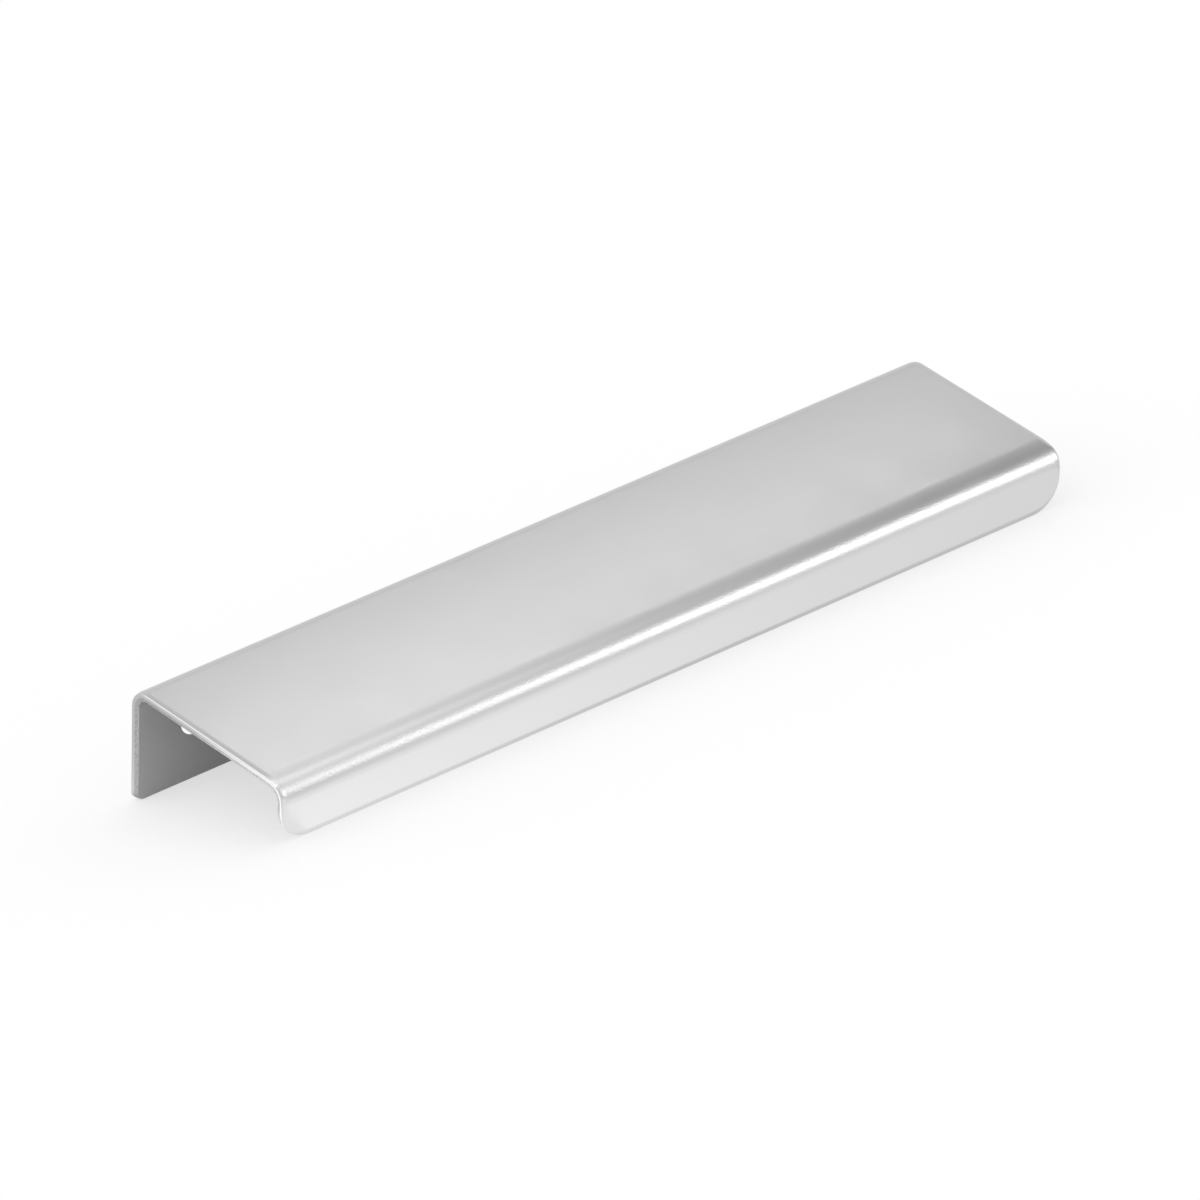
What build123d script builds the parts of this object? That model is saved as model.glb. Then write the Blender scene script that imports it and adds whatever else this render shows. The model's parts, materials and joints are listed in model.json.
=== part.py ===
from build123d import *
import os
from math import atan2, cos, sin

# A lip pull handle, bent from one piece of steel sheet: a screw flange at the back, a plate that
# sits on the edge of a door or drawer front, and a short lip in front for the fingers.
# It lies as it comes to rest on a table, on the flange's inner edge and the lip's outer edge.
# +X runs along the handle, -Y is its front and +Z is up. The origin is under its middle.
# All sizes are in millimetres.

# The sheet
length = 150.0
depth = 34.8  # flange's back face to lip's front face
flange_height = 19.5  # plate's top to flange's free edge
lip_height = 9.9  # plate's top to lip's free edge
sheet = 1.5
bend_radius = 1.8  # inside each bend
lip_corner_radius = 5.5
flange_corner_radius = 1.2
edge_radius = 0.4  # polished rounding along every free edge

# The screw holes, countersunk from the flange's back face
hole_diameter = 5.5
hole_spacing = 128.0
hole_drop = 9.1  # plate's top to hole's centre
countersink_diameter = 8.1
countersink_angle = 90.0

# The resting attitude: the sheet leans forward until flange and lip both touch the table
outer_bend = bend_radius + sheet
lean = atan2(flange_height - lip_height, depth - sheet)
forward = Vector(0, -cos(lean), -sin(lean))
upward = Vector(0, -sin(lean), cos(lean))

# The sheet's back top corner, placed so that the lowest edges lie on Z = 0 and the middle on Y = 0
corner_z = edge_radius + (sheet - edge_radius) * sin(lean) + (flange_height - edge_radius) * cos(lean)
rear_reach = edge_radius * (1 - cos(lean)) + (flange_height - edge_radius) * sin(lean)
front_reach = (depth - outer_bend) * cos(lean) - outer_bend * sin(lean) + outer_bend
section_plane = Plane(
    origin=(0, (front_reach - rear_reach) / 2, corner_z),
    x_dir=forward,
    z_dir=(-1, 0, 0),
)
hole_plane = Plane(
    origin=section_plane.from_local_coords((0, -hole_drop, 0)),
    x_dir=(1, 0, 0),
    z_dir=forward * -1,
)

with BuildPart() as lip_pull:
    with BuildSketch(section_plane):
        with BuildLine():
            FilletPolyline(
                (0, -flange_height),
                (0, 0),
                (depth, 0),
                (depth, -lip_height),
                radius=outer_bend,
            )
            offset(amount=sheet, side=Side.RIGHT)
        make_face()
    extrude(amount=length / 2, both=True)

    # The free corners of the flange and the lip, in order from back to front
    across_sheet = Axis(section_plane.origin, forward)
    corners = lip_pull.edges().filter_by(across_sheet).filter_by(lambda edge: edge.length < 2 * sheet)
    flange_corners, lip_corners = corners.group_by(across_sheet)[0], corners.group_by(across_sheet)[-1]
    fillet(flange_corners, flange_corner_radius)
    fillet(lip_corners, lip_corner_radius)

    # Both rims of the sheet: the edges where two faces meet at an angle
    faces = lip_pull.faces()

    def is_sharp(edge):
        """Whether the faces on both sides of an edge meet at an angle."""
        sides = [face.normal_at(edge @ 0.5) for face in faces if edge in face.edges()]
        return sides[0].get_angle(sides[1]) > 45

    fillet(lip_pull.edges().filter_by(is_sharp), edge_radius)

    with Locations(hole_plane):
        with GridLocations(hole_spacing, 0, 2, 1):
            CounterSinkHole(
                radius=hole_diameter / 2,
                counter_sink_radius=countersink_diameter / 2,
                depth=2 * sheet,
                counter_sink_angle=countersink_angle,
            )

lip_pull.part.label = "lip_pull"

os.makedirs("parts", exist_ok=True)
export_step(lip_pull.part, "parts/lip_pull.step")
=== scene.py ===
"""Studio picture of a lip pull handle: one satin steel sheet, folded, drilled and polished.

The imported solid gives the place, the lean and the length. The sheet that shows is modelled here the way
the real one is made: folded up from a flat strip, rounded at its free corners, drawn over at its outer rim
by the punch, broken off at its inner rim, and countersunk from behind.
"""

import json
import logging
import math
from collections.abc import Callable
from dataclasses import dataclass
from enum import Enum
from typing import Any

import bmesh
import bpy
from mathutils import Matrix, Vector

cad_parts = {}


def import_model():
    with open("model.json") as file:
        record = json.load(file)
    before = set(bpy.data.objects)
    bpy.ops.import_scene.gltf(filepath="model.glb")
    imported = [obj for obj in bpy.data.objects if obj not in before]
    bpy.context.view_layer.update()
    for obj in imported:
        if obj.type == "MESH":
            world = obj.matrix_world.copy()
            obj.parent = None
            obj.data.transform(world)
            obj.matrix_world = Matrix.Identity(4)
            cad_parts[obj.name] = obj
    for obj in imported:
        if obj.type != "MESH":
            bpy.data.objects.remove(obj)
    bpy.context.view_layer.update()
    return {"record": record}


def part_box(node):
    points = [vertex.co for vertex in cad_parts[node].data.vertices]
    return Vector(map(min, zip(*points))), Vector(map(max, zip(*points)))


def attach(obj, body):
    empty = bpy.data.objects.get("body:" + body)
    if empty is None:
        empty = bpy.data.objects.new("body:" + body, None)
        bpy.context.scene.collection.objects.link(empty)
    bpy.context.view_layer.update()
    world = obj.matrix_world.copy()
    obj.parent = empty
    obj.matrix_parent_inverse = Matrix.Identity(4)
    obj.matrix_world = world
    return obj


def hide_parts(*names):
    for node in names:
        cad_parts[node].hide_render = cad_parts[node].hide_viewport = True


MM = 0.001
CAD_NODE = "lip_pull"
BODY = "root"
BEND_ATTRIBUTE = "bend"
WHITE = "#ffffff"

NEAR = 0.01  # millimetres within which a place counts as met
ENDWARD = 0.5  # share along the handle from which a face counts as an end wall
DOWNWARD = -0.2  # upright share below which a face counts as looking down
SQUARE = 90.0  # degrees
ARC_STEPS = 24  # faces round a bend or a corner
LEAD_STEPS = 10  # faces along the slack run-in of a bend
HOLE_STEPS = 96  # faces round a hole
BREAK_STEPS = 4  # faces across a hole's broken edge
SMOOTH_ANGLE = 35.0  # degrees up to which shading runs on from face to face
FLAT_FACE_WEIGHT = 100  # lets the flat faces set the shading of their rims
NOISE_RANGE = (0.3, 0.7)  # where nearly all values of a noise texture lie

# Directions in the sheet's own frame that several studio cards face.
DOWN = (0.0, 0.0, -1.0)
OFF_TABLE = (0.0, 0.277, 0.961)

log = logging.getLogger("lip_pull")


class Element(Enum):
    """What an edit-mode selection is made of."""

    VERTEX = "VERT"
    EDGE = "EDGE"
    FACE = "FACE"


class Finish(Enum):
    """Finishes of the sheet, by material slot."""

    SKIN = 0
    TORN = 1


class Ray(Enum):
    """Kinds of light ray that are kept from seeing a studio card, by property name."""

    CAMERA = "visible_camera"
    DIFFUSE = "visible_diffuse"
    SHADOW = "visible_shadow"
    TRANSMISSION = "visible_transmission"
    SCATTER = "visible_volume_scatter"


def linear(hex_colour: str) -> tuple[float, float, float, float]:
    """Turns an sRGB hex colour into linear values.

    Args:
        hex_colour: Colour such as "#c8c8c8".

    Returns:
        Linear red, green and blue, and an alpha of 1.
    """
    shares = [int(hex_colour[i : i + 2], 16) / 255 for i in (1, 3, 5)]
    red, green, blue = (s / 12.92 if s <= 0.04045 else ((s + 0.055) / 1.055) ** 2.4 for s in shares)
    return red, green, blue, 1.0


def add_node(
    tree: bpy.types.NodeTree,
    kind: str,
    inputs: dict[str | int, Any] | None = None,
    **settings: Any,
) -> bpy.types.Node:
    """Adds one shader node with its settings, values and links.

    Args:
        tree: Node tree that gets the node.
        kind: Type name of the node.
        inputs: Values, or the output sockets to link, by input name or number.
        **settings: Node properties by name.

    Returns:
        The new node.
    """
    node = tree.nodes.new(kind)
    for name, setting in settings.items():
        setattr(node, name, setting)
    for socket, value in (inputs or {}).items():
        if isinstance(value, bpy.types.NodeSocket):
            tree.links.new(value, node.inputs[socket])
        else:
            node.inputs[socket].default_value = value
    return node


def pick(element: Element, test: Callable[[Vector, Vector], bool]) -> None:
    """Selects the parts of the mesh in edit mode that pass a test, and nothing else.

    Args:
        element: What to select.
        test: Tells from a part's middle and its normal whether it is wanted.
    """
    bpy.ops.mesh.select_mode(type=element.value)
    bpy.ops.mesh.select_all(action="DESELECT")
    data = bpy.context.edit_object.data
    mesh = bmesh.from_edit_mesh(data)
    if element is Element.VERTEX:
        found = [(vertex, vertex.co, vertex.normal) for vertex in mesh.verts]
    elif element is Element.EDGE:
        ends = [(edge, *edge.verts) for edge in mesh.edges]
        found = [(edge, (a.co + b.co) / 2, (a.normal + b.normal).normalized()) for edge, a, b in ends]
    else:
        found = [(face, face.calc_center_median(), face.normal) for face in mesh.faces]
    for part, middle, normal in found:
        part.select_set(test(middle, normal))
    mesh.select_flush_mode()
    bmesh.update_edit_mesh(data)


def dress_selected(piece: bpy.types.Object, finish: Finish) -> None:
    """Gives the selected faces a finish, which the faces that an inset adds round them take over."""
    piece.active_material_index = finish.value
    bpy.ops.object.material_slot_assign()


def apply_modifier(piece: bpy.types.Object, kind: str, **settings: Any) -> None:
    """Adds a modifier to a piece and applies it.

    Args:
        piece: Object that gets the modifier.
        kind: Type name of the modifier.
        **settings: Modifier properties by name.
    """
    modifier = piece.modifiers.new(kind.title(), kind)
    for name, setting in settings.items():
        setattr(modifier, name, setting)
    bpy.context.view_layer.objects.active = piece
    bpy.ops.object.modifier_apply(modifier=modifier.name)


@dataclass(frozen=True)
class Lie:
    """How the sheet lies in the part's frame.

    In the sheet's own frame X runs along it, -Y to its front and +Z up, square to its plate. The origin is
    the corner where the back of the flange and the top of the plate would meet.

    Attributes:
        corner: That corner in the part's frame, in metres.
        forward: From flange to lip.
        upward: Out of the plate's top.
    """

    corner: Vector
    forward: Vector
    upward: Vector

    @classmethod
    def from_record(cls, record: dict[str, Any], thickness: float) -> "Lie":
        """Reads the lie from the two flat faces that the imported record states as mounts.

        Args:
            record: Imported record.
            thickness: Sheet thickness in metres.

        Returns:
            The lie of the sheet.
        """
        mounts = {mount["name"]: mount for mount in record["mounts"]}
        flange, plate = mounts["flange_face"], mounts["plate_underside"]
        forward = Vector(flange["axis"]).normalized()
        upward = -Vector(plate["axis"]).normalized()
        back = Vector(flange["pos_m"]).dot(forward) - thickness
        top = Vector(plate["pos_m"]).dot(upward) + thickness
        return cls(forward * back + upward * top, forward, upward)

    def matrix(self) -> Matrix:
        """Gives the matrix that takes the sheet's own frame to the part's frame."""
        turn = Matrix((Vector((1, 0, 0)), -self.forward, self.upward)).transposed()
        return Matrix.Translation(self.corner) @ turn.to_4x4()


@dataclass(frozen=True)
class RimProfile:
    """Section of the punched and polished rim, in millimetres.

    From the outer skin to the inner one it has a shallow draw-in, a round shoulder, a burnished wall, a
    torn wall and a small broken edge.

    Attributes:
        draw_width: How far in from the shoulder the skin is drawn down.
        draw_depth: How deep it is drawn down.
        shoulder_radius: Radius of the shoulder.
        wall_lean: How far the burnished wall leans in, at both ends of the handle.
        torn_height: Height of the torn wall.
        torn_lean: How far the torn wall leans in.
        broken_edge: Radius of the broken edge.
        steps: Faces across each of its curves.
    """

    draw_width: float = 0.92
    draw_depth: float = 0.15
    shoulder_radius: float = 0.22
    wall_lean: float = 0.12
    torn_height: float = 0.64
    torn_lean: float = 0.17
    broken_edge: float = 0.06
    steps: int = 6

    def outer_path(self) -> list[tuple[float, float]]:
        """Works out the way from the wall's top to the outer skin.

        Returns:
            Points as (distance in from the wall, height above it).
        """
        slope = math.atan2(2 * self.draw_depth, self.draw_width)
        end = math.pi / 2 - slope
        arc = [end * i / self.steps for i in range(self.steps + 1)]
        radius = self.shoulder_radius
        points = [(radius * (1 - math.cos(turn)), radius * math.sin(turn)) for turn in arc]
        inset, height = points[-1]
        for i in range(1, self.steps + 1):
            share = i / self.steps
            rise = self.draw_depth * (1 - (1 - share) ** 2)
            points.append((inset + self.draw_width * share, height + rise))
        return points

    def inner_path(self) -> list[tuple[float, float]]:
        """Works out the way from the wall's foot to the inner skin.

        Returns:
            Points as (distance in from the wall, height above it).
        """
        points = [(0.0, 0.0), (self.torn_lean, self.torn_height)]
        for i in range(1, self.steps + 1):
            turn = math.pi / 2 * i / self.steps
            inset = self.torn_lean + self.broken_edge * (1 - math.cos(turn))
            points.append((inset, self.torn_height + self.broken_edge * math.sin(turn)))
        return points


@dataclass
class LipPull:
    """The bent sheet, in its own frame and in millimetres.

    Attributes:
        length: End to end.
        depth: Flange's back face to lip's front face.
        flange_height: Plate's top to the flange's free edge.
        lip_height: Plate's top to the lip's free edge.
        thickness: Sheet thickness.
        back_bend: Outer radius between flange and plate.
        lip_bend: Outer radius between plate and lip.
        lead_bend: Slack outer radius with which the plate runs into the lip's bend.
        lead_angle: Degrees that the plate turns in that run-in.
        end_curl: Height by which folding has curled up both ends of the lip's bend.
        curl_reach: How far that curl runs out from them.
        curl_span: Degrees round the bend between which the curl is highest.
        lip_corner: Corner radius at both ends of the lip.
        flange_corner: Corner radius at both ends of the flange.
        hole_diameter: Screw hole.
        hole_spacing: Between the two screw holes.
        hole_drop: Plate's top to a hole's centre.
        sink_diameter: Countersink at the flange's back face.
        sink_angle: Degrees across the countersink's cone.
        hole_break: Broken edge round a hole's inner rim.
        rim: Section of the free edges.
    """

    length: float
    depth: float = 34.8
    flange_height: float = 19.5
    lip_height: float = 9.87
    thickness: float = 1.5
    back_bend: float = 3.3
    lip_bend: float = 3.5
    lead_bend: float = 12.3
    lead_angle: float = 9.0
    end_curl: float = 0.18
    curl_reach: float = 1.1
    curl_span: tuple[float, float] = (30.0, 60.0)
    lip_corner: float = 5.2
    flange_corner: float = 1.3
    hole_diameter: float = 5.5
    hole_spacing: float = 128.0
    hole_drop: float = 9.1
    sink_diameter: float = 8.1
    sink_angle: float = 90.0
    hole_break: float = 0.12
    rim: RimProfile = RimProfile()

    @property
    def lip_fall(self) -> float:
        """Gives the drop from the plate's top to the centre of the lip's bend."""
        lead = math.radians(self.lead_angle)
        return self.lead_bend * (1 - math.cos(lead)) + self.lip_bend * math.cos(lead)

    def build(self, lie: Lie, skin: "SatinSteel", torn: "TornSteel") -> bpy.types.Object:
        """Models the sheet, dresses it and lays it down.

        Args:
            lie: Where the sheet lies.
            skin: Surface of the sheet.
            torn: Surface where the punch tore the rim off.

        Returns:
            The finished piece.
        """
        piece = self.fold()
        piece.data.materials.append(skin.material())
        piece.data.materials.append(torn.material())
        self.round_corners()
        self.thicken(piece)
        self.shape_rims(piece)
        self.curl_bend_ends()
        self.drill(piece)
        self.mark_bends(piece)
        self.lay_down(piece, lie)
        return piece

    def fold(self) -> bpy.types.Object:
        """Folds the strip: flange, bend, plate, bend and lip, as one skin a little under the outer face.

        Returns:
            The open skin, left in edit mode.
        """
        sunk = self.rim.outer_path()[-1][1]
        lead = math.radians(self.lead_angle)
        flange_run = self.flange_height - self.back_bend
        lip_reach = self.lead_bend * math.sin(lead) + self.lip_bend * (1 - math.sin(lead))
        plate_run = self.depth - self.back_bend - lip_reach

        bpy.ops.object.select_all(action="DESELECT")
        bpy.ops.mesh.primitive_plane_add(size=MM, rotation=(-math.pi / 2, 0, 0))
        piece = bpy.context.active_object
        piece.name = "bent_sheet"
        bpy.ops.object.transform_apply(rotation=True)
        bpy.ops.object.mode_set(mode="EDIT")
        bpy.ops.mesh.select_all(action="SELECT")
        bpy.ops.transform.resize(value=(self.length, 1, flange_run))
        middle = self.flange_height - flange_run / 2
        bpy.ops.transform.translate(value=(0, -sunk * MM, -middle * MM))
        pick(Element.EDGE, lambda at, _: at.z > -(self.back_bend + NEAR) * MM)

        self.bend(Vector((0, -self.back_bend, -self.back_bend)), SQUARE, ARC_STEPS)
        self.run_on(Vector((0, -plate_run, 0)))
        lead_start = self.back_bend + plate_run
        self.bend(Vector((0, -lead_start, -self.lead_bend)), self.lead_angle, LEAD_STEPS)
        lip_centre = Vector((0, self.lip_bend - self.depth, -self.lip_fall))
        self.bend(lip_centre, SQUARE - self.lead_angle, ARC_STEPS)
        self.run_on(Vector((0, 0, self.lip_fall - self.lip_height)))
        return piece

    def bend(self, centre: Vector, angle: float, steps: int) -> None:
        """Bends the sheet on from the selected edge, round a line along X.

        Args:
            centre: Point on that line, in millimetres.
            angle: Degrees to bend by.
            steps: Faces round the bend.
        """
        bpy.ops.mesh.spin(
            steps=steps,
            angle=math.radians(angle),
            center=centre * MM,
            axis=(-1, 0, 0),
        )

    def run_on(self, way: Vector) -> None:
        """Runs the sheet straight on from the selected edge, by a way in millimetres."""
        bpy.ops.mesh.extrude_region_move(TRANSFORM_OT_translate={"value": way * MM})

    def round_corners(self) -> None:
        """Rounds the two free corners of the flange and of the lip."""
        free_edges = (
            (self.flange_corner, -self.flange_height, 0.0),
            (self.lip_corner, -self.lip_height, -self.depth),
        )
        for radius, bottom, face in free_edges:

            def on_free_edge(at: Vector, _: Vector) -> bool:
                """Tells the two ends of the free edge."""
                return abs(at.z - bottom * MM) < NEAR * MM and abs(at.y - face * MM) < self.thickness * MM

            pick(Element.VERTEX, on_free_edge)
            bpy.ops.mesh.bevel(
                offset=radius * MM,
                segments=ARC_STEPS,
                affect="VERTICES",
                clamp_overlap=False,
            )
        bpy.ops.object.mode_set(mode="OBJECT")

    def thicken(self, piece: bpy.types.Object) -> None:
        """Gives the skin the height of the burnished wall, on its inner side.

        Args:
            piece: Folded skin.
        """
        outer, inner = self.rim.outer_path()[-1][1], self.rim.inner_path()[-1][1]
        apply_modifier(
            piece,
            "SOLIDIFY",
            thickness=(self.thickness - outer - inner) * MM,
            offset=-1,
            use_even_offset=True,
            use_quality_normals=True,
        )

    def shape_rims(self, piece: bpy.types.Object) -> None:
        """Raises the outer and the inner skin from the wall, step by step along the rim's section.

        Args:
            piece: Thickened sheet, left in edit mode.
        """
        hollow = Vector((0, -self.depth / 2, -self.lip_height / 2)) * MM

        def along_sheet(normal: Vector) -> bool:
            """Tells a skin from the walls at the ends."""
            return abs(normal.x) < ENDWARD

        def is_outer(at: Vector, normal: Vector) -> bool:
            """Tells the outer skin, which faces away from the hollow and never down."""
            return along_sheet(normal) and normal.dot(at - hollow) > 0 and normal.z > DOWNWARD

        def is_inner(at: Vector, normal: Vector) -> bool:
            """Tells the inner skin, which faces the hollow."""
            return along_sheet(normal) and normal.dot(at - hollow) < 0

        sides = (
            (is_outer, self.rim.outer_path(), Finish.SKIN),
            (is_inner, self.rim.inner_path(), Finish.TORN),
        )
        bpy.context.view_layer.objects.active = piece
        bpy.ops.object.mode_set(mode="EDIT")

        # Only the inner skin is shortened, which leans the wall in at both ends.
        pick(Element.FACE, is_inner)
        inner_share = 1 - self.rim.wall_lean / (self.length / 2)
        bpy.ops.transform.resize(value=(inner_share, 1, 1), center_override=(0, 0, 0))

        for is_skin, path, finish in sides:
            pick(Element.FACE, is_skin)
            dress_selected(piece, finish)
            for (inset, height), (next_inset, next_height) in zip(path, path[1:]):
                bpy.ops.mesh.inset(
                    thickness=(next_inset - inset) * MM,
                    depth=(next_height - height) * MM,
                    use_boundary=True,
                    use_even_offset=True,
                )
            dress_selected(piece, Finish.SKIN)

    def place_in_lip_bend(self, at: Vector) -> tuple[float, float]:
        """Tells where a point lies round the centre line of the lip's bend.

        Args:
            at: Point in the sheet's own frame, in metres.

        Returns:
            Degrees forward from straight above that line, and millimetres out from it.
        """
        spoke = at / MM + Vector((0, self.depth - self.lip_bend, self.lip_fall))
        return math.degrees(math.atan2(-spoke.y, spoke.z)), math.hypot(spoke.y, spoke.z)

    def curl_bend_ends(self) -> None:
        """Curls up the outer skin at both ends of the lip's bend, and leaves edit mode."""
        shoulder_foot = self.lip_bend - self.rim.outer_path()[-1][1] - NEAR
        shoulder_start = (self.length / 2 - self.rim.shoulder_radius) * MM
        curl_start, curl_end = self.curl_span

        def on_bend_end(at: Vector, _: Vector) -> bool:
            """Tells the rim's shoulder where the curl is highest."""
            turn, radius = self.place_in_lip_bend(at)
            return abs(at.x) > shoulder_start and curl_start < turn < curl_end and radius > shoulder_foot

        pick(Element.VERTEX, on_bend_end)
        bpy.ops.transform.translate(
            value=Vector((0, -1, 1)).normalized() * self.end_curl * MM,
            use_proportional_edit=True,
            proportional_edit_falloff="SMOOTH",
            proportional_size=self.curl_reach * MM,
        )
        bpy.ops.object.mode_set(mode="OBJECT")

    def drill(self, piece: bpy.types.Object) -> None:
        """Cuts both screw holes and breaks their inner rims.

        Args:
            piece: Sheet with its rims shaped.
        """
        inner_face = -self.thickness * MM
        centres = [Vector((side * self.hole_spacing / 2, 0, -self.hole_drop)) * MM for side in (-1, 1)]
        for centre in centres:
            cutter = self.hole_cutter(centre)
            apply_modifier(piece, "BOOLEAN", object=cutter, operation="DIFFERENCE", solver="EXACT")
            bpy.data.objects.remove(cutter)
        bpy.ops.object.select_all(action="DESELECT")
        piece.select_set(True)
        bpy.ops.object.mode_set(mode="EDIT")

        def on_inner_rim(at: Vector, _: Vector) -> bool:
            """Tells the edges round a hole at the flange's inner face."""
            radii = [math.hypot(at.x - centre.x, at.z - centre.z) for centre in centres]
            return abs(at.y - inner_face) < NEAR * MM and min(radii) < (self.hole_diameter / 2 + NEAR) * MM

        pick(Element.EDGE, on_inner_rim)
        bpy.ops.mesh.bevel(offset=self.hole_break * MM, segments=BREAK_STEPS, affect="EDGES")
        bpy.ops.object.mode_set(mode="OBJECT")

    def hole_cutter(self, centre: Vector) -> bpy.types.Object:
        """Models the drill for one hole: a shank with a countersinking cone at the flange's back.

        Args:
            centre: Hole's centre on the flange's back face, in metres.

        Returns:
            The cutter.
        """
        sink_slope = math.tan(math.radians(self.sink_angle / 2))
        sink_depth = (self.sink_diameter - self.hole_diameter) / 2 / sink_slope
        reach = self.thickness
        shank_back, shank_front = -sink_depth, -2 * self.thickness
        bpy.ops.object.select_all(action="DESELECT")
        bpy.ops.mesh.primitive_cylinder_add(
            vertices=HOLE_STEPS,
            radius=self.hole_diameter / 2 * MM,
            depth=(shank_back - shank_front) * MM,
            location=centre + Vector((0, (shank_back + shank_front) / 2, 0)) * MM,
            rotation=(math.pi / 2, 0, 0),
        )
        cutter = bpy.context.active_object
        bpy.ops.object.transform_apply(location=True, rotation=True)
        bpy.ops.object.mode_set(mode="EDIT")
        pick(Element.FACE, lambda at, _: at.y > (shank_back - NEAR) * MM)
        bpy.ops.mesh.extrude_region_move(
            TRANSFORM_OT_translate={"value": (0, (sink_depth + reach) * MM, 0)},
        )
        widening = (self.sink_diameter / 2 + reach * sink_slope) / (self.hole_diameter / 2)
        cone_end = centre + Vector((0, reach * MM, 0))
        bpy.ops.transform.resize(value=(widening, 1, widening), center_override=cone_end)
        bpy.ops.object.mode_set(mode="OBJECT")
        return cutter

    def mark_bends(self, piece: bpy.types.Object) -> None:
        """Notes on the mesh where folding stretched the skin: 1 in the middle of a bend, 0 on flats.

        Args:
            piece: Finished shape in the sheet's own frame.
        """
        stretch = piece.data.attributes.new(BEND_ATTRIBUTE, "FLOAT", "POINT")
        for vertex, value in zip(piece.data.vertices, stretch.data):
            value.value = abs(2 * vertex.normal.y * vertex.normal.z)

    def lay_down(self, piece: bpy.types.Object, lie: Lie) -> None:
        """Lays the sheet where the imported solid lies, and smooths its shading.

        Args:
            piece: Finished shape in the sheet's own frame.
            lie: Where the sheet lies.
        """
        bpy.ops.object.select_all(action="DESELECT")
        piece.select_set(True)
        bpy.context.view_layer.objects.active = piece
        piece.matrix_world = lie.matrix()
        bpy.ops.object.transform_apply(location=True, rotation=True, scale=True)
        bpy.ops.object.mode_set(mode="EDIT")
        bpy.ops.mesh.select_all(action="SELECT")
        bpy.ops.mesh.normals_make_consistent(inside=False)
        bpy.ops.object.mode_set(mode="OBJECT")
        bpy.ops.object.shade_smooth_by_angle(angle=math.radians(SMOOTH_ANGLE))
        apply_modifier(piece, "WEIGHTED_NORMAL", keep_sharp=True, weight=FLAT_FACE_WEIGHT)


@dataclass(frozen=True)
class SatinSteel:
    """Stainless steel sheet, bead-blasted and lightly polished.

    The blasting leaves a fine, even grain with no direction and the polish keeps reflections readable. In
    the bends the skin is stretched and coarser, which frays the edges of reflections there. Sizes are in
    millimetres.

    Attributes:
        colour: Colour of the metal.
        roughness: Its roughness on average.
        roughness_spread: How far that varies up and down.
        cloud_size: Size of the patches in which it varies.
        grain_size: Size of the grain.
        grain_height: Height of the grain on the flats.
        bend_grain_height: Height of the grain in the middle of a bend.
        wave_size: Size of the slight waves that polishing leaves.
        wave_height: Height of those waves.
    """

    colour: str = "#c4c4c4"
    roughness: float = 0.3
    roughness_spread: float = 0.02
    cloud_size: float = 9.0
    grain_size: float = 0.27  # real blasting is finer; drawn this coarse so that it shows
    grain_height: float = 0.004
    bend_grain_height: float = 0.044
    wave_size: float = 1.4
    wave_height: float = 0.0025

    def material(self) -> bpy.types.Material:
        """Builds the steel.

        Returns:
            The material.
        """
        steel = bpy.data.materials.new("satin_stainless_steel_bead_blasted")
        steel.use_nodes = True
        tree = steel.node_tree
        shader = tree.nodes["Principled BSDF"]
        shader.inputs["Base Color"].default_value = linear(self.colour)
        shader.inputs["Metallic"].default_value = 1.0
        place = add_node(tree, "ShaderNodeTexCoord").outputs["Object"]

        # Faint clouds in the gloss, as polishing by hand leaves them.
        cloud = add_node(
            tree,
            "ShaderNodeTexNoise",
            {"Vector": place, "Scale": 1 / (self.cloud_size * MM), "Detail": 3.0},
        )
        roughness = add_node(
            tree,
            "ShaderNodeMapRange",
            {
                "Value": cloud.outputs["Fac"],
                "From Min": NOISE_RANGE[0],
                "From Max": NOISE_RANGE[1],
                "To Min": self.roughness - self.roughness_spread,
                "To Max": self.roughness + self.roughness_spread,
            },
        )
        tree.links.new(roughness.outputs["Result"], shader.inputs["Roughness"])

        # Even grain on slight waves, coarser where folding stretched the skin.
        grain = add_node(
            tree,
            "ShaderNodeTexNoise",
            {"Vector": place, "Scale": 1 / (self.grain_size * MM), "Detail": 2.0},
        )
        wave = add_node(
            tree,
            "ShaderNodeTexNoise",
            {"Vector": place, "Scale": 1 / (self.wave_size * MM), "Detail": 1.0},
        )
        waviness = add_node(
            tree,
            "ShaderNodeBump",
            {"Height": wave.outputs["Fac"], "Distance": self.wave_height * MM},
        )
        stretch = add_node(tree, "ShaderNodeAttribute", attribute_name=BEND_ATTRIBUTE)
        grain_height = add_node(
            tree,
            "ShaderNodeMapRange",
            {
                "Value": stretch.outputs["Fac"],
                "To Min": self.grain_height * MM,
                "To Max": self.bend_grain_height * MM,
            },
        )
        blasting = add_node(
            tree,
            "ShaderNodeBump",
            {
                "Height": grain.outputs["Fac"],
                "Distance": grain_height.outputs["Result"],
                "Normal": waviness.outputs["Normal"],
            },
        )
        tree.links.new(blasting.outputs["Normal"], shader.inputs["Normal"])
        return steel


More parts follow.
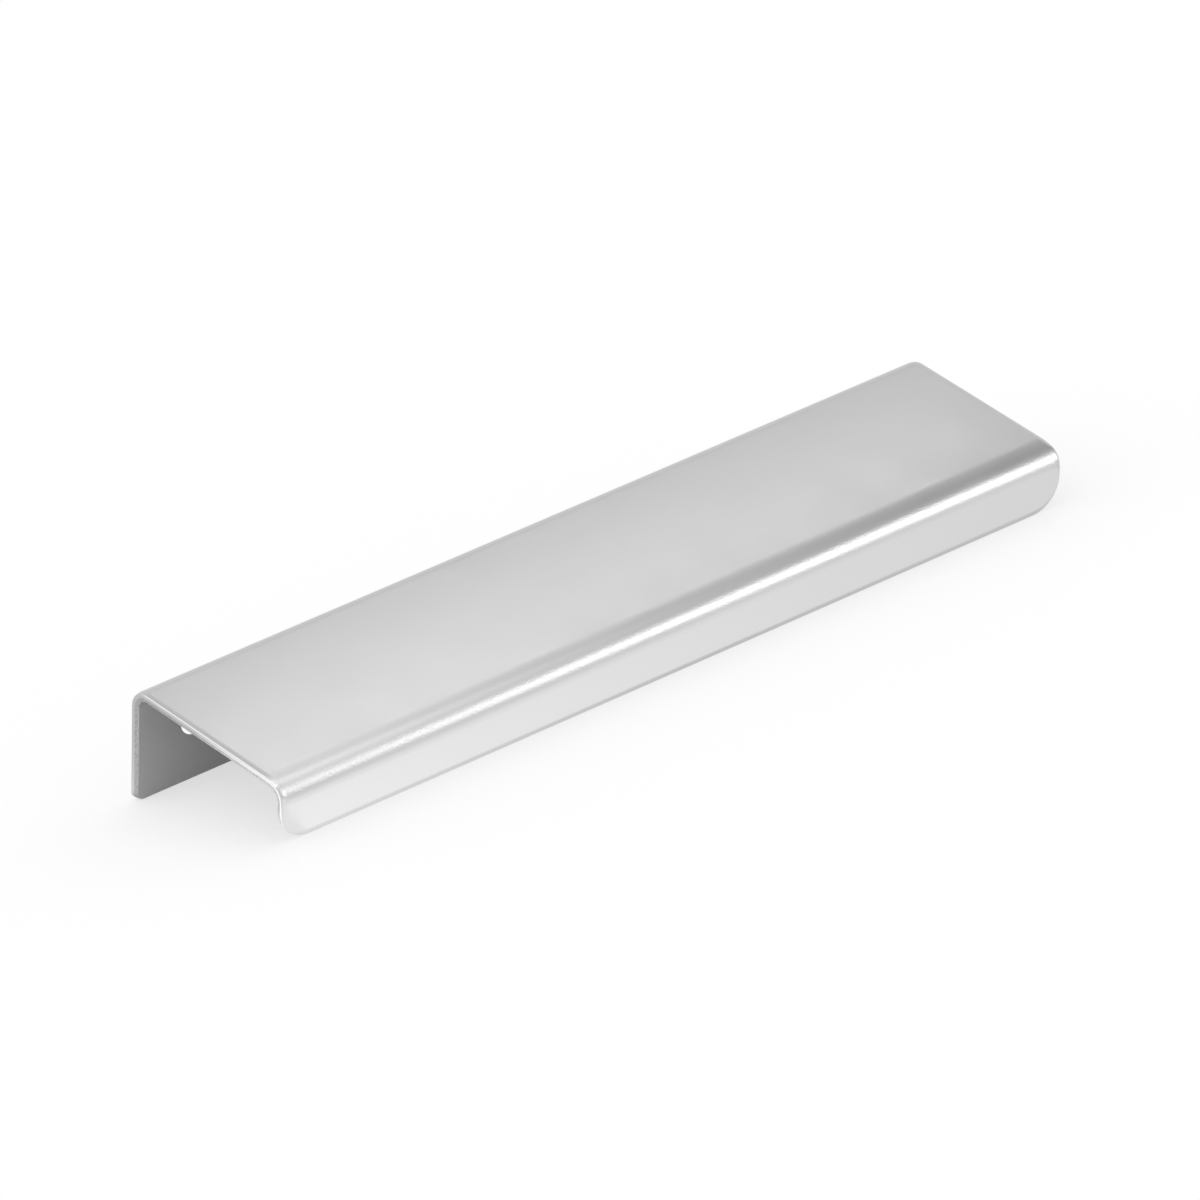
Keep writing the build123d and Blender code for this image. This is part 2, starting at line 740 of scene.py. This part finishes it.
@dataclass(frozen=True)
class TornSteel:
    """Stainless steel where the punch tore the sheet off.

    Tearing leaves it unpolished: matt and finely pitted. It is a little greyer than the skin, partly as
    torn steel is and partly as painted shade of the rough tear, and its pits are painted darker still as
    painted shade in them. Sizes are in millimetres.

    Attributes:
        colour: Colour between the pits.
        pit_shade_colour: Painted shade in the pits: the colour that they are darkened to.
        pit_shade_range: Noise below which the painted pit shade is at its darkest, and above which there
            is none.
        roughness: Its roughness.
        pit_size: Size of the pits.
        pit_depth: Depth of the pits.
    """

    colour: str = "#b5b5b5"
    pit_shade_colour: str = "#9a9a9a"
    pit_shade_range: tuple[float, float] = (0.35, 0.6)
    roughness: float = 0.5
    pit_size: float = 0.3
    pit_depth: float = 0.01

    def material(self) -> bpy.types.Material:
        """Builds the torn steel.

        Returns:
            The material.
        """
        steel = bpy.data.materials.new("torn_stainless_steel_edge")
        steel.use_nodes = True
        tree = steel.node_tree
        shader = tree.nodes["Principled BSDF"]
        shader.inputs["Metallic"].default_value = 1.0
        shader.inputs["Roughness"].default_value = self.roughness
        place = add_node(tree, "ShaderNodeTexCoord").outputs["Object"]
        pits = add_node(
            tree,
            "ShaderNodeTexNoise",
            {"Vector": place, "Scale": 1 / (self.pit_size * MM), "Detail": 2.0},
        )
        # Painted shade: the pits, low in the same noise as the relief, are coloured darker than the
        # ridges.
        shade = add_node(tree, "ShaderNodeValToRGB", {"Fac": pits.outputs["Fac"]})
        pit, ridge = shade.color_ramp.elements
        pit.position, ridge.position = self.pit_shade_range
        pit.color, ridge.color = linear(self.pit_shade_colour), linear(self.colour)
        tree.links.new(shade.outputs["Color"], shader.inputs["Base Color"])
        relief = add_node(
            tree,
            "ShaderNodeBump",
            {"Height": pits.outputs["Fac"], "Distance": self.pit_depth * MM},
        )
        tree.links.new(relief.outputs["Normal"], shader.inputs["Normal"])
        return steel


@dataclass(frozen=True)
class ProductCamera:
    """The camera at the photograph's viewing angle.

    Angles and offsets are in the sheet's own frame, because the photograph shows the plate nearly level.

    Attributes:
        azimuth: Degrees round from the front, to the right.
        elevation: Degrees above the plate.
        roll: Degrees that the picture is turned.
        distance: Camera to the plate's middle, in metres.
        field: Width of the picture at that distance, in metres.
        centre: Picture centre's offset from the plate's middle, right and up, in metres.
    """

    azimuth: float = -41.19
    elevation: float = 32.25
    roll: float = 1.61
    distance: float = 2.146
    field: float = 0.17638
    centre: tuple[float, float] = (-0.00046, -0.00505)

    def place(self, lie: Lie, depth: float) -> None:
        """Adds the camera and makes it the scene's own.

        Args:
            lie: Where the sheet lies.
            depth: Plate's depth in metres.
        """
        azimuth, elevation = math.radians(self.azimuth), math.radians(self.elevation)
        turn = (
            Matrix.Rotation(azimuth, 4, "Z")
            @ Matrix.Rotation(math.pi / 2 - elevation, 4, "X")
            @ Matrix.Rotation(math.radians(self.roll), 4, "Z")
        )
        middle = Matrix.Translation((0, -depth / 2, 0))
        stand = Matrix.Translation((*self.centre, self.distance))
        data = bpy.data.cameras.new("product_camera")
        data.sensor_fit = "HORIZONTAL"
        data.lens = data.sensor_width * self.distance / self.field
        camera = bpy.data.objects.new("product_camera", data)
        camera.matrix_world = lie.matrix() @ middle @ turn @ stand
        bpy.context.scene.collection.objects.link(camera)
        bpy.context.scene.camera = camera
        log.info("%s placed", camera.name)


@dataclass(frozen=True)
class Card:
    """A glowing studio card that only reflections see, so that it shapes the steel and nothing else.

    Places and directions are in the sheet's own frame, in millimetres. Sizes and sides are those before it
    is turned.

    Attributes:
        name: Its name.
        middle: Its middle.
        facing: Direction in which its face looks.
        width: Its size along the handle.
        height: Its size across the handle.
        glow: Brightness of its left and right side, where 1 is the white surround.
        fade: Where, from its middle, the left glow ends and the right one begins.
        bow: Power of the fade; above 1 the left glow falls away sooner.
        turn: Degrees that it is turned in its own plane.
    """

    name: str
    middle: tuple[float, float, float]
    facing: tuple[float, float, float]
    width: float
    height: float
    glow: tuple[float, float]
    fade: tuple[float, float] = (-1.0, 1.0)
    bow: float = 1.0
    turn: float = 0.0

    def hang(self, lie: Lie) -> None:
        """Hangs the card in the studio.

        Args:
            lie: Where the sheet lies.
        """
        bpy.ops.object.select_all(action="DESELECT")
        bpy.ops.mesh.primitive_plane_add(size=MM)
        card = bpy.context.active_object
        card.name = self.name
        out = Vector(self.facing).normalized()
        along = (Vector((1, 0, 0)) - out * out.x).normalized()
        turn = Matrix((along, out.cross(along), out)).transposed().to_4x4()
        turn = turn @ Matrix.Rotation(math.radians(self.turn), 4, "Z")
        size = Matrix.Diagonal((self.width, self.height, 1, 1))
        card.data.transform(size)
        card.matrix_world = lie.matrix() @ Matrix.Translation(Vector(self.middle) * MM) @ turn
        card.data.materials.append(self.material())
        for ray in Ray:
            setattr(card, ray.value, False)
        log.info("%s hung", card.name)

    def material(self) -> bpy.types.Material:
        """Builds the card's glow, which fades from its left to its right.

        Returns:
            The material.
        """
        scrim = bpy.data.materials.new(self.name)
        scrim.use_nodes = True
        tree = scrim.node_tree
        tree.nodes.clear()
        left, right = self.glow
        start, end = self.fade
        place = add_node(tree, "ShaderNodeTexCoord").outputs["Object"]
        along = add_node(tree, "ShaderNodeSeparateXYZ", {"Vector": place}).outputs["X"]
        share = add_node(
            tree,
            "ShaderNodeMapRange",
            {"Value": along, "From Min": end * MM, "From Max": start * MM},
        )
        bowed = add_node(
            tree,
            "ShaderNodeMath",
            {0: share.outputs["Result"], 1: self.bow},
            operation="POWER",
        )
        glow = add_node(
            tree,
            "ShaderNodeMapRange",
            {"Value": bowed.outputs["Value"], "To Min": right, "To Max": left},
        )
        light = add_node(tree, "ShaderNodeEmission", {"Strength": glow.outputs["Result"]})
        add_node(tree, "ShaderNodeOutputMaterial", {"Surface": light.outputs["Emission"]})
        return scrim


@dataclass(frozen=True)
class Studio:
    """White table, white surround, and the cards that the steel reflects.

    Attributes:
        table_size: Side of the table top, in metres.
        shadow_fill: Share by which shadows on the table are filled in for the eye.
        mirrored_fill: Share by which they are filled in for reflections.
        cards: The cards.
    """

    table_size: float = 6.0
    shadow_fill: float = 0.6
    mirrored_fill: float = 0.08
    cards: tuple[Card, ...] = (
        Card(
            "overhead_back",
            middle=(85, 36, 100),
            facing=DOWN,
            width=250,
            height=78,
            glow=(1.16, 0.5),
            fade=(-75, 100),
            bow=1.75,
        ),
        Card(
            "overhead_middle",
            middle=(85, -24, 100),
            facing=DOWN,
            width=250,
            height=42,
            glow=(1.64, 0.48),
            fade=(-95, 72),
            bow=1.7,
        ),
        Card(
            "overhead_front",
            middle=(85, -70, 100),
            facing=DOWN,
            width=250,
            height=50,
            glow=(1.3, 0.61),
            fade=(-95, 55),
            bow=1.6,
        ),
        Card(
            "overhead_end",
            middle=(-72, -24, 100),
            facing=DOWN,
            width=46,
            height=50,
            glow=(2.8, 2.8),
        ),
        Card(
            "back_scrim",
            middle=(85, 86.5, 100),
            facing=DOWN,
            width=180,
            height=23,
            glow=(2.65, 2.55),
            fade=(-55, 65),
        ),
        Card(
            "back_flag",
            middle=(115, 123, 100),
            facing=DOWN,
            width=190,
            height=40,
            glow=(0.3, 0.3),
        ),
        Card(
            "back_wall",
            middle=(0, 80, 1),
            facing=(0, -1, 0),
            width=420,
            height=88,
            glow=(0.94, 0.94),
        ),
        Card(
            "left_flag",
            middle=(-45, 80, 98),
            facing=DOWN,
            width=80,
            height=90,
            glow=(0.8, 0.8),
        ),
        Card(
            "front_softbox",
            middle=(150, -207.4, 130.2),
            facing=(-0.556, 0.714, -0.4255),
            width=230,
            height=119,
            glow=(1.75, 2.6),
            fade=(-80, 0),
            turn=16.0,
        ),
        Card(
            "left_softbox",
            middle=(-285, 105, 180),
            facing=(0.7, -0.35, -0.6),
            width=300,
            height=300,
            glow=(2.3, 2.3),
        ),
        Card(
            "table_front",
            middle=(4, -38.25, -8.71),
            facing=OFF_TABLE,
            width=148,
            height=6.04,
            glow=(1.54, 1.2),
            fade=(-74, 66),
            bow=1.3,
        ),
        Card(
            "table_skirt",
            middle=(2.5, -44.19, -7.05),
            facing=OFF_TABLE,
            width=163,
            height=18.4,
            glow=(1.38, 1.2),
            fade=(-74, 66),
        ),
        Card(
            "table_foot",
            middle=(2.5, -34.175, -9.969),
            facing=OFF_TABLE,
            width=163,
            height=2.45,
            glow=(1.23, 0.9),
            fade=(-74, 0),
        ),
        Card(
            "table_end",
            middle=(-82.5, -11, -16.58),
            facing=OFF_TABLE,
            width=47.9,
            height=11,
            glow=(1.95, 0.95),
            fade=(-4, 16),
            turn=SQUARE,
        ),
        Card(
            "table_corner",
            middle=(-70.5, -26.5, -12.18),
            facing=OFF_TABLE,
            width=13,
            height=13.5,
            glow=(1.4, 1.4),
        ),
        Card(
            "table_left",
            middle=(-118, -1.1, -19.3),
            facing=OFF_TABLE,
            width=60,
            height=60,
            glow=(1.6, 0.85),
            fade=(-22, 6),
            turn=SQUARE,
        ),
    )

    def set_up(self, lie: Lie) -> None:
        """Builds the table, the surround and the cards.

        Args:
            lie: Where the sheet lies.
        """
        self.table()
        self.surround()
        for card in self.cards:
            card.hang(lie)

    def table(self) -> None:
        """Lays a wide white table top under the object."""
        bpy.ops.object.select_all(action="DESELECT")
        bpy.ops.mesh.primitive_plane_add(size=self.table_size)
        top = bpy.context.active_object
        top.name = "table_top"
        top.data.materials.append(self.paper())
        log.info("%s laid", top.name)

    def paper(self) -> bpy.types.Material:
        """Builds the table's paper: matt and white, with its shadows filled in.

        Returns:
            The material.
        """
        paper = bpy.data.materials.new("white_paper_sweep")
        paper.use_nodes = True
        tree = paper.node_tree
        shader = tree.nodes["Principled BSDF"]
        shader.inputs["Base Color"].default_value = linear(WHITE)
        shader.inputs["Roughness"].default_value = 1.0
        shader.inputs["Specular IOR Level"].default_value = 0.0
        white = add_node(tree, "ShaderNodeEmission", {"Color": linear(WHITE), "Strength": 1.0})

        # Reflections keep more of the shadow than the eye sees, which gives the steel its depth.
        ray = add_node(tree, "ShaderNodeLightPath").outputs
        seen = add_node(
            tree,
            "ShaderNodeMath",
            {0: ray["Is Camera Ray"], 1: ray["Is Transmission Ray"]},
            operation="MAXIMUM",
        )
        mirrored = add_node(
            tree,
            "ShaderNodeMath",
            {0: ray["Is Glossy Ray"], 1: self.mirrored_fill},
            operation="MULTIPLY",
        )
        fill = add_node(
            tree,
            "ShaderNodeMath",
            {0: seen.outputs["Value"], 1: self.shadow_fill, 2: mirrored.outputs["Value"]},
            operation="MULTIPLY_ADD",
        )
        mix = add_node(
            tree,
            "ShaderNodeMixShader",
            {0: fill.outputs["Value"], 1: shader.outputs["BSDF"], 2: white.outputs["Emission"]},
        )
        tree.links.new(mix.outputs["Shader"], tree.nodes["Material Output"].inputs["Surface"])
        return paper

    def surround(self) -> None:
        """Makes the world a plain white surround."""
        world = bpy.data.worlds.new("white_surround")
        world.use_nodes = True
        background = world.node_tree.nodes["Background"]
        background.inputs["Color"].default_value = linear(WHITE)
        background.inputs["Strength"].default_value = 1.0
        bpy.context.scene.world = world


def main() -> None:
    """Builds the sheet, the camera and the studio, and logs the sheet's face count."""
    logging.basicConfig(level=logging.INFO, format="%(name)s: %(message)s")
    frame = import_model()
    low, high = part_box(CAD_NODE)

    handle = LipPull(length=(high.x - low.x) / MM)
    lie = Lie.from_record(frame["record"], handle.thickness * MM)
    piece = handle.build(lie, SatinSteel(), TornSteel())
    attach(piece, BODY)
    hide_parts(CAD_NODE)
    log.info("%s: %d faces", piece.name, len(piece.data.polygons))

    ProductCamera().place(lie, handle.depth * MM)
    Studio().set_up(lie)
    bpy.context.scene.view_settings.view_transform = "Standard"


if __name__ == "__main__":
    main()
